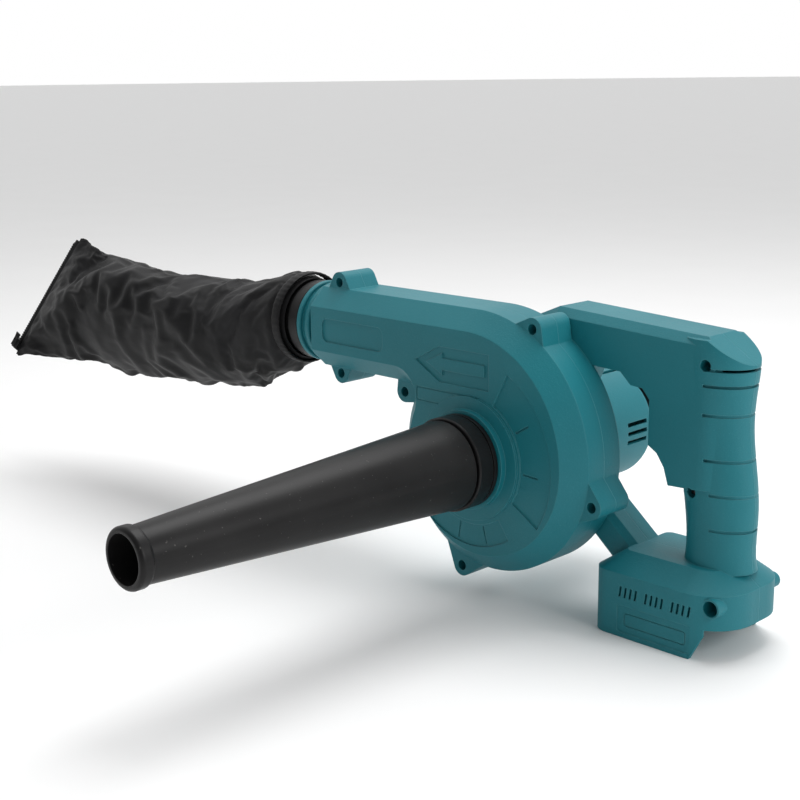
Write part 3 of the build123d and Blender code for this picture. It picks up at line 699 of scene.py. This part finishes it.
@dataclass
class DustBag:
    """Sewn nylon pouch: a lofted shell, slackened by cloth simulation, closed by its end seam."""

    around: int = 120
    along: int = 104
    seam_top: Vector = Vector((-0.613, -0.040, 0.208))
    seam_low: Vector = Vector((-0.666, -0.084, 0.101))
    cloth: float = 0.0006
    reach: float = 0.008
    girth: float = 0.27
    ring_pitch: float = 0.0033
    dent_depth: float = 0.0022
    coarse_dents: float = 34.0
    fine_dents: float = 80.0
    held_at_neck: int = 8
    held_at_seam: int = 3
    settle_frames: int = 24
    sewn: tuple[float, float] = (0.08, 0.985)
    low_hem: float = 0.0032
    top_hem: float = 0.0012
    hem_fade: tuple[float, float, float] = (1.0, 0.35, 0.08)
    hoops: tuple[Hoop, ...] = (
        Hoop((-0.3050, -0.0340, 0.1705), 0.0300, 0.0300, 0.0300),
        Hoop((-0.3170, -0.0340, 0.1700), 0.0320, 0.0350, 0.0325),
        Hoop((-0.3350, -0.0340, 0.1660), 0.0365, 0.0420, 0.0350),
        Hoop((-0.3530, -0.0350, 0.1600), 0.0375, 0.0435, 0.0365),
        Hoop((-0.3710, -0.0360, 0.1580), 0.0360, 0.0435, 0.0375),
        Hoop((-0.3840, -0.0360, 0.1565), 0.0365, 0.0430, 0.0385),
        Hoop((-0.3980, -0.0370, 0.1550), 0.0425, 0.0440, 0.0400),
        Hoop((-0.4410, -0.0390, 0.1520), 0.0450, 0.0450, 0.0415),
        Hoop((-0.4810, -0.0420, 0.1490), 0.0455, 0.0465, 0.0410, 0.03),
        Hoop((-0.5210, -0.0460, 0.1465), 0.0460, 0.0480, 0.0385, 0.10),
        Hoop((-0.5570, -0.0490, 0.1475), 0.0450, 0.0500, 0.0330, 0.28),
        Hoop((-0.5830, -0.0525, 0.1495), 0.0460, 0.0520, 0.0255, 0.50),
        Hoop((-0.6060, -0.0560, 0.1525), 0.0520, 0.0550, 0.0165, 0.75),
        Hoop((-0.6240, -0.0590, 0.1540), 0.0590, 0.0590, 0.0090, 0.92),
        Hoop((-0.6395, -0.0620, 0.1545), 0.0632, 0.0632, 0.0014, 1.0),
    )

    @property
    def seam(self) -> Vector:
        """Direction of the end seam, from its lower end."""
        return (self.seam_top - self.seam_low).normalized()

    def hoop_at(self, share: float) -> tuple[list[float], float]:
        """Sizes of the bag part of the way along.

        Args:
            share: 0 at the neck, 1 at the end seam.

        Returns:
            Centre x, y, z, up, down and side as a list, and the lean.
        """
        rows = [[*h.centre, h.up, h.down, h.side, h.lean] for h in self.hoops]
        last = len(rows) - 1
        spot = share * last
        low = min(int(spot), last - 1)
        part = spot - low
        before, after = rows[max(low - 1, 0)], rows[min(low + 2, last)]
        out = []
        for a, b, c, d in zip(before, rows[low], rows[low + 1], after):
            bend = 2 * b + (c - a) * part + (2 * a - 5 * b + 4 * c - d) * part**2
            out.append(0.5 * (bend + (3 * b - a - 3 * c + d) * part**3))
        return out[:6], out[6]

    def skin_point(self, share: float, turn: float) -> Vector:
        """One point of the lofted skin.

        Args:
            share: 0 at the neck, 1 at the end seam.
            turn: angle round the section from its top, in radians.

        Returns:
            The point.
        """
        (x, y, z, up, down, side), lean = self.hoop_at(share)
        rise = (Vector((0, 0, 1)) * (1 - lean) + self.seam * lean).normalized()
        along = Vector((-1, 0, 0)) * (1 - lean) + Vector((-1, -0.25, 0)) * lean
        across = rise.cross(along).normalized()
        high = math.cos(turn)
        reach = up if high > 0 else down
        return Vector((x, y, z)) + rise * reach * high + across * side * math.sin(turn)

    def build_skin(self) -> bpy.types.Object:
        """Lofts the skin through its hoops, with a weave map in metres.

        Returns:
            The open-necked shell.
        """
        mesh = bmesh.new()
        weave = mesh.loops.layers.uv.new("weave")
        rings = []
        for i in range(self.along + 1):
            share = i / self.along
            ring = []
            for j in range(self.around):
                point = self.skin_point(share, math.tau * j / self.around)
                slack = math.sin(math.pi * share)
                dent = noise.noise(point * self.coarse_dents)
                dent += 0.5 * noise.noise(point * self.fine_dents)
                middle = Vector(self.hoop_at(share)[0][:3])
                point += (point - middle).normalized() * dent * slack * self.dent_depth
                ring.append(mesh.verts.new(point))
            rings.append(ring)
        step = self.girth / self.around
        for i in range(self.along):
            for j in range(self.around):
                k = (j + 1) % self.around
                face = mesh.faces.new(
                    (rings[i][j], rings[i + 1][j], rings[i + 1][k], rings[i][k])
                )
                places = ((j, i), (j, i + 1), (j + 1, i + 1), (j + 1, i))
                for loop, (u, v) in zip(face.loops, places):
                    loop[weave].uv = (u * step, v * self.ring_pitch)
        end, half = rings[-1], self.around // 2
        for j in range(half):
            corners = [end[j], end[-j % self.around], end[-(j + 1)], end[j + 1]]
            mesh.faces.new(list(dict.fromkeys(corners)))
        bmesh.ops.recalc_face_normals(mesh, faces=mesh.faces)
        data = bpy.data.meshes.new("dust_bag_cloth")
        mesh.to_mesh(data)
        mesh.free()
        bag = bpy.data.objects.new("dust_bag_cloth", data)
        bpy.context.collection.objects.link(bag)
        return bag

    def slacken(self, bag: bpy.types.Object) -> None:
        """Lets the cloth swell and crumple between its neck and its end seam.

        Args:
            bag: the lofted shell.
        """
        held = bag.vertex_groups.new(name="held")
        for vertex in bag.data.vertices:
            ring = vertex.index // self.around
            if ring < self.held_at_neck or ring > self.along - self.held_at_seam:
                held.add([vertex.index], 1.0, "REPLACE")
        take(bag)
        start = [vertex.co.copy() for vertex in bag.data.vertices]
        modifier = bag.modifiers.new("Slack", "CLOTH")
        cloth = modifier.settings
        cloth.quality = 7
        cloth.mass = 0.12
        cloth.tension_stiffness = 18
        cloth.compression_stiffness = 12
        cloth.shear_stiffness = 6
        cloth.bending_stiffness = 0.06
        cloth.tension_damping = 6
        cloth.compression_damping = 6
        cloth.air_damping = 2.0
        cloth.use_pressure = True
        cloth.uniform_pressure_force = 0.5
        cloth.shrink_min = -0.06
        cloth.shrink_max = -0.06
        cloth.vertex_group_mass = "held"
        cloth.effector_weights.gravity = 0.0
        modifier.collision_settings.use_collision = False
        modifier.point_cache.frame_end = self.settle_frames
        for step in range(1, self.settle_frames + 1):
            bpy.context.scene.frame_set(step)
        bpy.ops.object.modifier_apply(modifier=modifier.name)
        bpy.context.scene.frame_set(1)
        for vertex, first in zip(bag.data.vertices, start):
            move = vertex.co - first
            if move.length > self.reach:
                vertex.co = first + move.normalized() * self.reach

    def sew_edges(self, bag: bpy.types.Object) -> None:
        """Pinches the cloth into a sewn ridge along its top and bottom edges.

        Args:
            bag: the simulated shell.
        """
        half = self.around // 2
        for vertex in bag.data.vertices:
            ring, column = divmod(vertex.index, self.around)
            share = ring / self.along
            if not self.sewn[0] < share < self.sewn[1]:
                continue
            middle = Vector(self.hoop_at(share)[0][:3])
            outward = (vertex.co - middle).normalized()
            for edge, reach in ((half, self.low_hem), (0, self.top_hem)):
                away = min(abs(column - edge), self.around - abs(column - edge))
                if away < len(self.hem_fade):
                    vertex.co += outward * reach * self.hem_fade[away]

    def build(self, shop: PaintShop) -> bpy.types.Object:
        """Makes the finished bag.

        Args:
            shop: where its finish comes from.

        Returns:
            The bag's cloth.
        """
        bag = self.build_skin()
        self.slacken(bag)
        self.sew_edges(bag)
        modify(bag, "SUBSURF", levels=1, render_levels=1)
        modify(bag, "SOLIDIFY", thickness=self.cloth, offset=-1.0)
        soften(bag, 75.0)
        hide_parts("dust_bag")
        shop.fit(bag, Body.BAG, Slot.CLOTH)
        return bag


@dataclass
class NeckBand:
    """Gathered elastic that clamps the cloth on the collar."""

    gathers: int = 46
    gather_depth: float = 0.00015
    wall: float = 0.0014
    edge_drop: float = 0.0006
    waver: float = 1.3
    waver_turns: int = 5
    edge_cuts: int = 5

    def build(self, shop: PaintShop) -> bpy.types.Object:
        """Makes the band.

        Args:
            shop: where its finish comes from.

        Returns:
            The band.
        """
        low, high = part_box("bag_band")
        centre = (low + high) / 2
        bpy.ops.mesh.primitive_cylinder_add(
            vertices=64,
            radius=(high.z - low.z) / 2 - self.wall / 2,
            depth=high.x - low.x,
            end_fill_type="NOTHING",
            location=centre,
            rotation=(0.0, math.pi / 2, 0.0),
        )
        band = added("neck_band")
        settle(band)
        bpy.ops.object.mode_set(mode="EDIT")
        bpy.ops.mesh.select_all(action="SELECT")
        bpy.ops.mesh.subdivide(number_cuts=self.edge_cuts)
        bpy.ops.object.mode_set(mode="OBJECT")
        radius = (high.z - low.z) / 2 - self.wall / 2
        for vertex in band.data.vertices:
            spoke = Vector((0.0, vertex.co.y - centre.y, vertex.co.z - centre.z))
            turn = math.atan2(spoke.z, spoke.y)
            edge = abs(vertex.co.x - centre.x) / (high.x - low.x) * 2
            waver = self.waver * math.sin(self.waver_turns * turn)
            ripple = math.sin(self.gathers * turn + waver) * (0.4 + 0.6 * edge)
            reach = radius - self.edge_drop * edge**4 + self.gather_depth * ripple
            outward = spoke.normalized() * reach
            vertex.co.y, vertex.co.z = centre.y + outward.y, centre.z + outward.z
        modify(band, "SOLIDIFY", thickness=self.wall, offset=0.0)
        modify(band, "BEVEL", width=0.0003, segments=2, limit_method="ANGLE")
        soften(band, 50.0)
        bpy.ops.object.mode_set(mode="EDIT")
        bpy.ops.mesh.select_all(action="SELECT")
        bpy.ops.uv.cube_project(cube_size=1.0)
        bpy.ops.object.mode_set(mode="OBJECT")
        band.data.uv_layers.active.name = "weave"
        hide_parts("bag_band")
        shop.fit(band, Body.BAG, Slot.CLOTH)
        return band


@dataclass
class EndZip:
    """Closed zip along the end seam: tape, interlocked teeth, and a runner with its pull."""

    bag: DustBag
    pitch: float = 0.0024
    tooth: tuple[float, float, float] = (0.0015, 0.0030, 0.0016)
    parked: float = 0.010

    def frame_at(self, along: float, out: float) -> Matrix:
        """Placement on the seam: local X along it, local Y outward from the bag.

        Args:
            along: distance from the seam's middle towards its top.
            out: distance outside the seam.

        Returns:
            The placement.
        """
        run = self.bag.seam
        axis = Vector((-1.0, -0.25, 0.0))
        outward = (axis - run * axis.dot(run)).normalized()
        flat = run.cross(outward)
        spot = (self.bag.seam_top + self.bag.seam_low) / 2 + run * along + outward * out
        turned = Matrix((run, outward, flat)).transposed()
        return Matrix.Translation(spot) @ turned.to_4x4()

    @property
    def half(self) -> float:
        """Half the zip's length."""
        return (self.bag.seam_top - self.bag.seam_low).length / 2 - 4 * MM

    def build_tape(self, shop: PaintShop) -> bpy.types.Object:
        """Makes the folded tape that the teeth are sewn on.

        Args:
            shop: where its finish comes from.

        Returns:
            The tape.
        """
        bpy.ops.mesh.primitive_cube_add(size=1.0, scale=(2 * self.half, 0.0036, 0.0022))
        tape = added("zip_tape_cloth")
        settle(tape)
        bpy.ops.object.mode_set(mode="EDIT")
        pick_faces(tape, lambda centre, normal: normal.y > 0.9)
        bpy.ops.mesh.inset(thickness=0.0007)
        bpy.ops.transform.translate(value=(0.0, -0.0011, 0.0))
        bpy.ops.mesh.select_all(action="SELECT")
        bpy.ops.mesh.bisect(plane_co=(0, 0, 0), plane_no=(1, 0, 0))
        bpy.ops.mesh.select_all(action="SELECT")
        bpy.ops.mesh.subdivide(number_cuts=3)
        bpy.ops.uv.cube_project(cube_size=1.0)
        bpy.ops.object.mode_set(mode="OBJECT")
        tape.data.uv_layers.active.name = "weave"
        modify(tape, "BEVEL", width=0.0003, segments=2, limit_method="ANGLE")
        tape.data.transform(self.frame_at(0.0, 0.0012))
        soften(tape)
        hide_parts("zip_tape")
        shop.fit(tape, Body.BAG, Slot.CLOTH)
        return tape

    def build_teeth(self, shop: PaintShop) -> bpy.types.Object:
        """Makes the two rows of interlocked teeth.

        Args:
            shop: where their finish comes from.

        Returns:
            The teeth.
        """
        bpy.ops.mesh.primitive_cube_add(size=1.0, scale=self.tooth)
        teeth = added("zip_teeth")
        settle(teeth)
        bpy.ops.object.mode_set(mode="EDIT")
        pick_faces(teeth, lambda centre, normal: normal.y > 0.9)
        bpy.ops.mesh.inset(thickness=0.0003)
        bpy.ops.transform.translate(value=(0.0, 0.0003, 0.0))
        bpy.ops.mesh.select_all(action="SELECT")
        bpy.ops.transform.translate(value=(self.pitch / 2 - self.half, 0.0, 0.00035))
        bpy.ops.mesh.duplicate_move(
            TRANSFORM_OT_translate={"value": (self.pitch / 2, 0.0, -0.0007)}
        )
        bpy.ops.object.mode_set(mode="OBJECT")
        count = int(2 * self.half / self.pitch) - 1
        modify(
            teeth,
            "ARRAY",
            count=count,
            use_relative_offset=False,
            use_constant_offset=True,
            constant_offset_displace=(self.pitch, 0.0, 0.0),
        )
        teeth.data.transform(self.frame_at(0.0, 0.0025))
        soften(teeth, 30.0)
        shop.fit(teeth, Body.BAG, Slot.HARD_BLACK)
        return teeth

    def build_runner(self, shop: PaintShop) -> bpy.types.Object:
        """Makes the runner that straddles the teeth, with its bail and pull.

        Args:
            shop: where its finish comes from.

        Returns:
            The runner.
        """
        bpy.ops.mesh.primitive_cube_add(size=1.0, scale=(0.0095, 0.0060, 0.0080))
        runner = added("zip_runner")
        settle(runner)
        bpy.ops.object.mode_set(mode="EDIT")
        pick_faces(runner, lambda centre, normal: abs(normal.z) > 0.9)
        bpy.ops.mesh.inset(thickness=0.0012)
        bpy.ops.mesh.extrude_region_shrink_fatten(
            TRANSFORM_OT_shrink_fatten={"value": 0.0006}
        )
        pick_faces(runner, lambda centre, normal: normal.y < -0.9 and abs(centre.z) < MM)
        bpy.ops.mesh.inset(thickness=0.0022)
        bpy.ops.transform.resize(value=(1.6, 1.0, 0.9), center_override=(0.0, 0.0, 0.0))
        bpy.ops.mesh.extrude_region_move(TRANSFORM_OT_translate={"value": (0.0, 0.0028, 0.0)})
        bpy.ops.object.mode_set(mode="OBJECT")
        pull = self.build_pull()
        take(pull)
        runner.select_set(True)
        bpy.context.view_layer.objects.active = runner
        bpy.ops.object.join()
        modify(runner, "BEVEL", width=0.0004, segments=2, limit_method="ANGLE")
        runner.data.transform(self.frame_at(self.parked - self.half - 4 * MM, 0.0032))
        soften(runner)
        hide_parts("zip_slider")
        shop.fit(runner, Body.ZIP, Slot.HARD_BLACK)
        return runner

    def build_pull(self) -> bpy.types.Object:
        """Makes the waisted pull tab with its eye, folded flat against the runner."""
        bpy.ops.mesh.primitive_cube_add(
            size=1.0, scale=(0.013, 0.0040, 0.0011), location=(0.0035, 0.0008, 0.0056)
        )
        pull = added("zip_pull")
        settle(pull)
        bpy.ops.object.mode_set(mode="EDIT")
        bpy.ops.mesh.select_all(action="SELECT")
        bpy.ops.mesh.subdivide(number_cuts=2)
        pick_faces(pull, lambda centre, normal: normal.x > 0.9)
        bpy.ops.transform.resize(value=(1.0, 1.4, 1.0), center_override=(0.010, 0.0008, 0.0056))
        pick_faces(
            pull, lambda centre, normal: abs(normal.z) > 0.9 and abs(centre.x - 0.0035) < 0.001
        )
        bpy.ops.mesh.inset(thickness=0.0004)
        bpy.ops.mesh.extrude_region_shrink_fatten(
            TRANSFORM_OT_shrink_fatten={"value": -0.0002}
        )
        bpy.ops.object.mode_set(mode="OBJECT")
        return pull


# Studio ---------------------------------------------------------------------------------------


@dataclass(frozen=True)
class Lamp:
    """One soft square light aimed at a point."""

    name: str
    place: tuple[float, float, float]
    aim: tuple[float, float, float]
    size: float
    power: float
    colour: Colour = (1.0, 1.0, 1.0)

    def hang(self) -> None:
        """Adds the light."""
        bpy.ops.object.light_add(type="AREA", location=self.place)
        lamp = bpy.context.object
        lamp.name = self.name
        lamp.data.size = self.size
        lamp.data.energy = self.power
        lamp.data.color = self.colour
        towards = Vector(self.aim) - Vector(self.place)
        lamp.rotation_euler = towards.to_track_quat("-Z", "Y").to_euler()


@dataclass
class Studio:
    """Pale floor, soft lights and the camera."""

    camera_place: Vector = Vector((0.4807, -0.7201, 0.3531))
    heading: float = 45.375
    tilt: float = 76.654
    roll: float = -0.662
    focal_mm: float = 62.99
    sensor_mm: float = 36.0
    floor_radius: float = 40.0
    floor_rim: float = 2.0
    sky: Colour = (1.0, 1.0, 1.0)
    room: Colour = (0.30, 0.30, 0.30)
    bright_side: Colour = (-0.55, 0.75, 0.40)
    sky_strength: float = 1.0
    ramp_stops: tuple[float, float] = (0.0, 0.45)
    lamps: tuple[Lamp, ...] = (
        Lamp("overhead", (-0.25, 0.35, 1.6), (-0.15, -0.05, 0.12), 1.0, 15.0),
        Lamp("right_side", (1.3, 0.05, 0.75), (-0.1, -0.05, 0.12), 0.7, 9.0),
    )

    def set_camera(self) -> None:
        """Adds the camera at its place."""
        bpy.ops.object.camera_add()
        camera = bpy.context.object
        camera.name = "view_camera"
        camera.data.sensor_width = self.sensor_mm
        camera.data.lens = self.focal_mm
        camera.data.clip_start = 0.01
        camera.data.clip_end = 200.0
        turn = Matrix.Rotation(math.radians(self.heading), 4, "Z")
        turn = turn @ Matrix.Rotation(math.radians(self.tilt), 4, "X")
        turn = turn @ Matrix.Rotation(math.radians(self.roll), 4, "Z")
        camera.matrix_world = Matrix.Translation(self.camera_place) @ turn
        bpy.context.scene.camera = camera

    def lay_floor(self) -> None:
        """Adds the floor, a wide disc that meets the surround far away."""
        bpy.ops.mesh.primitive_circle_add(
            vertices=96, radius=self.floor_radius, fill_type="NGON", location=(0, 0, 0)
        )
        floor = added("studio_floor")
        bpy.ops.object.mode_set(mode="EDIT")
        bpy.ops.mesh.select_all(action="SELECT")
        bpy.ops.mesh.inset(thickness=self.floor_rim)
        bpy.ops.object.mode_set(mode="OBJECT")
        floor.data.materials.append(StudioPaper("studio_paper").make())

    def light(self) -> None:
        """Hangs the lamps and brightens the surroundings."""
        world = bpy.data.worlds.new("studio_surround")
        world.use_nodes = True
        nodes, links = world.node_tree.nodes, world.node_tree.links
        surround = nodes["Background"]
        surround.inputs[1].default_value = self.sky_strength
        facing = nodes.new("ShaderNodeTexCoord").outputs["Generated"]
        split = nodes.new("ShaderNodeVectorMath")
        split.operation = "DOT_PRODUCT"
        split.inputs[1].default_value = self.bright_side
        links.new(facing, split.inputs[0])
        ramp = nodes.new("ShaderNodeValToRGB")
        shades = (self.room, self.sky)
        for stop, place, shade in zip(ramp.color_ramp.elements, self.ramp_stops, shades):
            stop.position = place
            stop.color = (*shade, 1.0)
        links.new(split.outputs["Value"], ramp.inputs[0])
        links.new(ramp.outputs[0], surround.inputs[0])
        bpy.context.scene.world = world
        for lamp in self.lamps:
            lamp.hang()
        bpy.context.scene.view_settings.view_transform = "Standard"

    def build(self) -> None:
        """Sets the whole studio."""
        self.set_camera()
        self.lay_floor()
        self.light()


def main() -> None:
    """Builds the studio, dresses the CAD frame and adds the soft pieces."""
    logging.basicConfig(level=logging.INFO, format="%(message)s")
    Studio().build()
    shop = PaintShop()
    shop.dress_frame(frame["nodes"])
    shop.dress_screws(frame["nodes"])
    bag = DustBag()
    bag.build(shop)
    NeckBand().build(shop)
    end_zip = EndZip(bag)
    end_zip.build_tape(shop)
    end_zip.build_teeth(shop)
    end_zip.build_runner(shop)


if __name__ == "__main__":
    main()
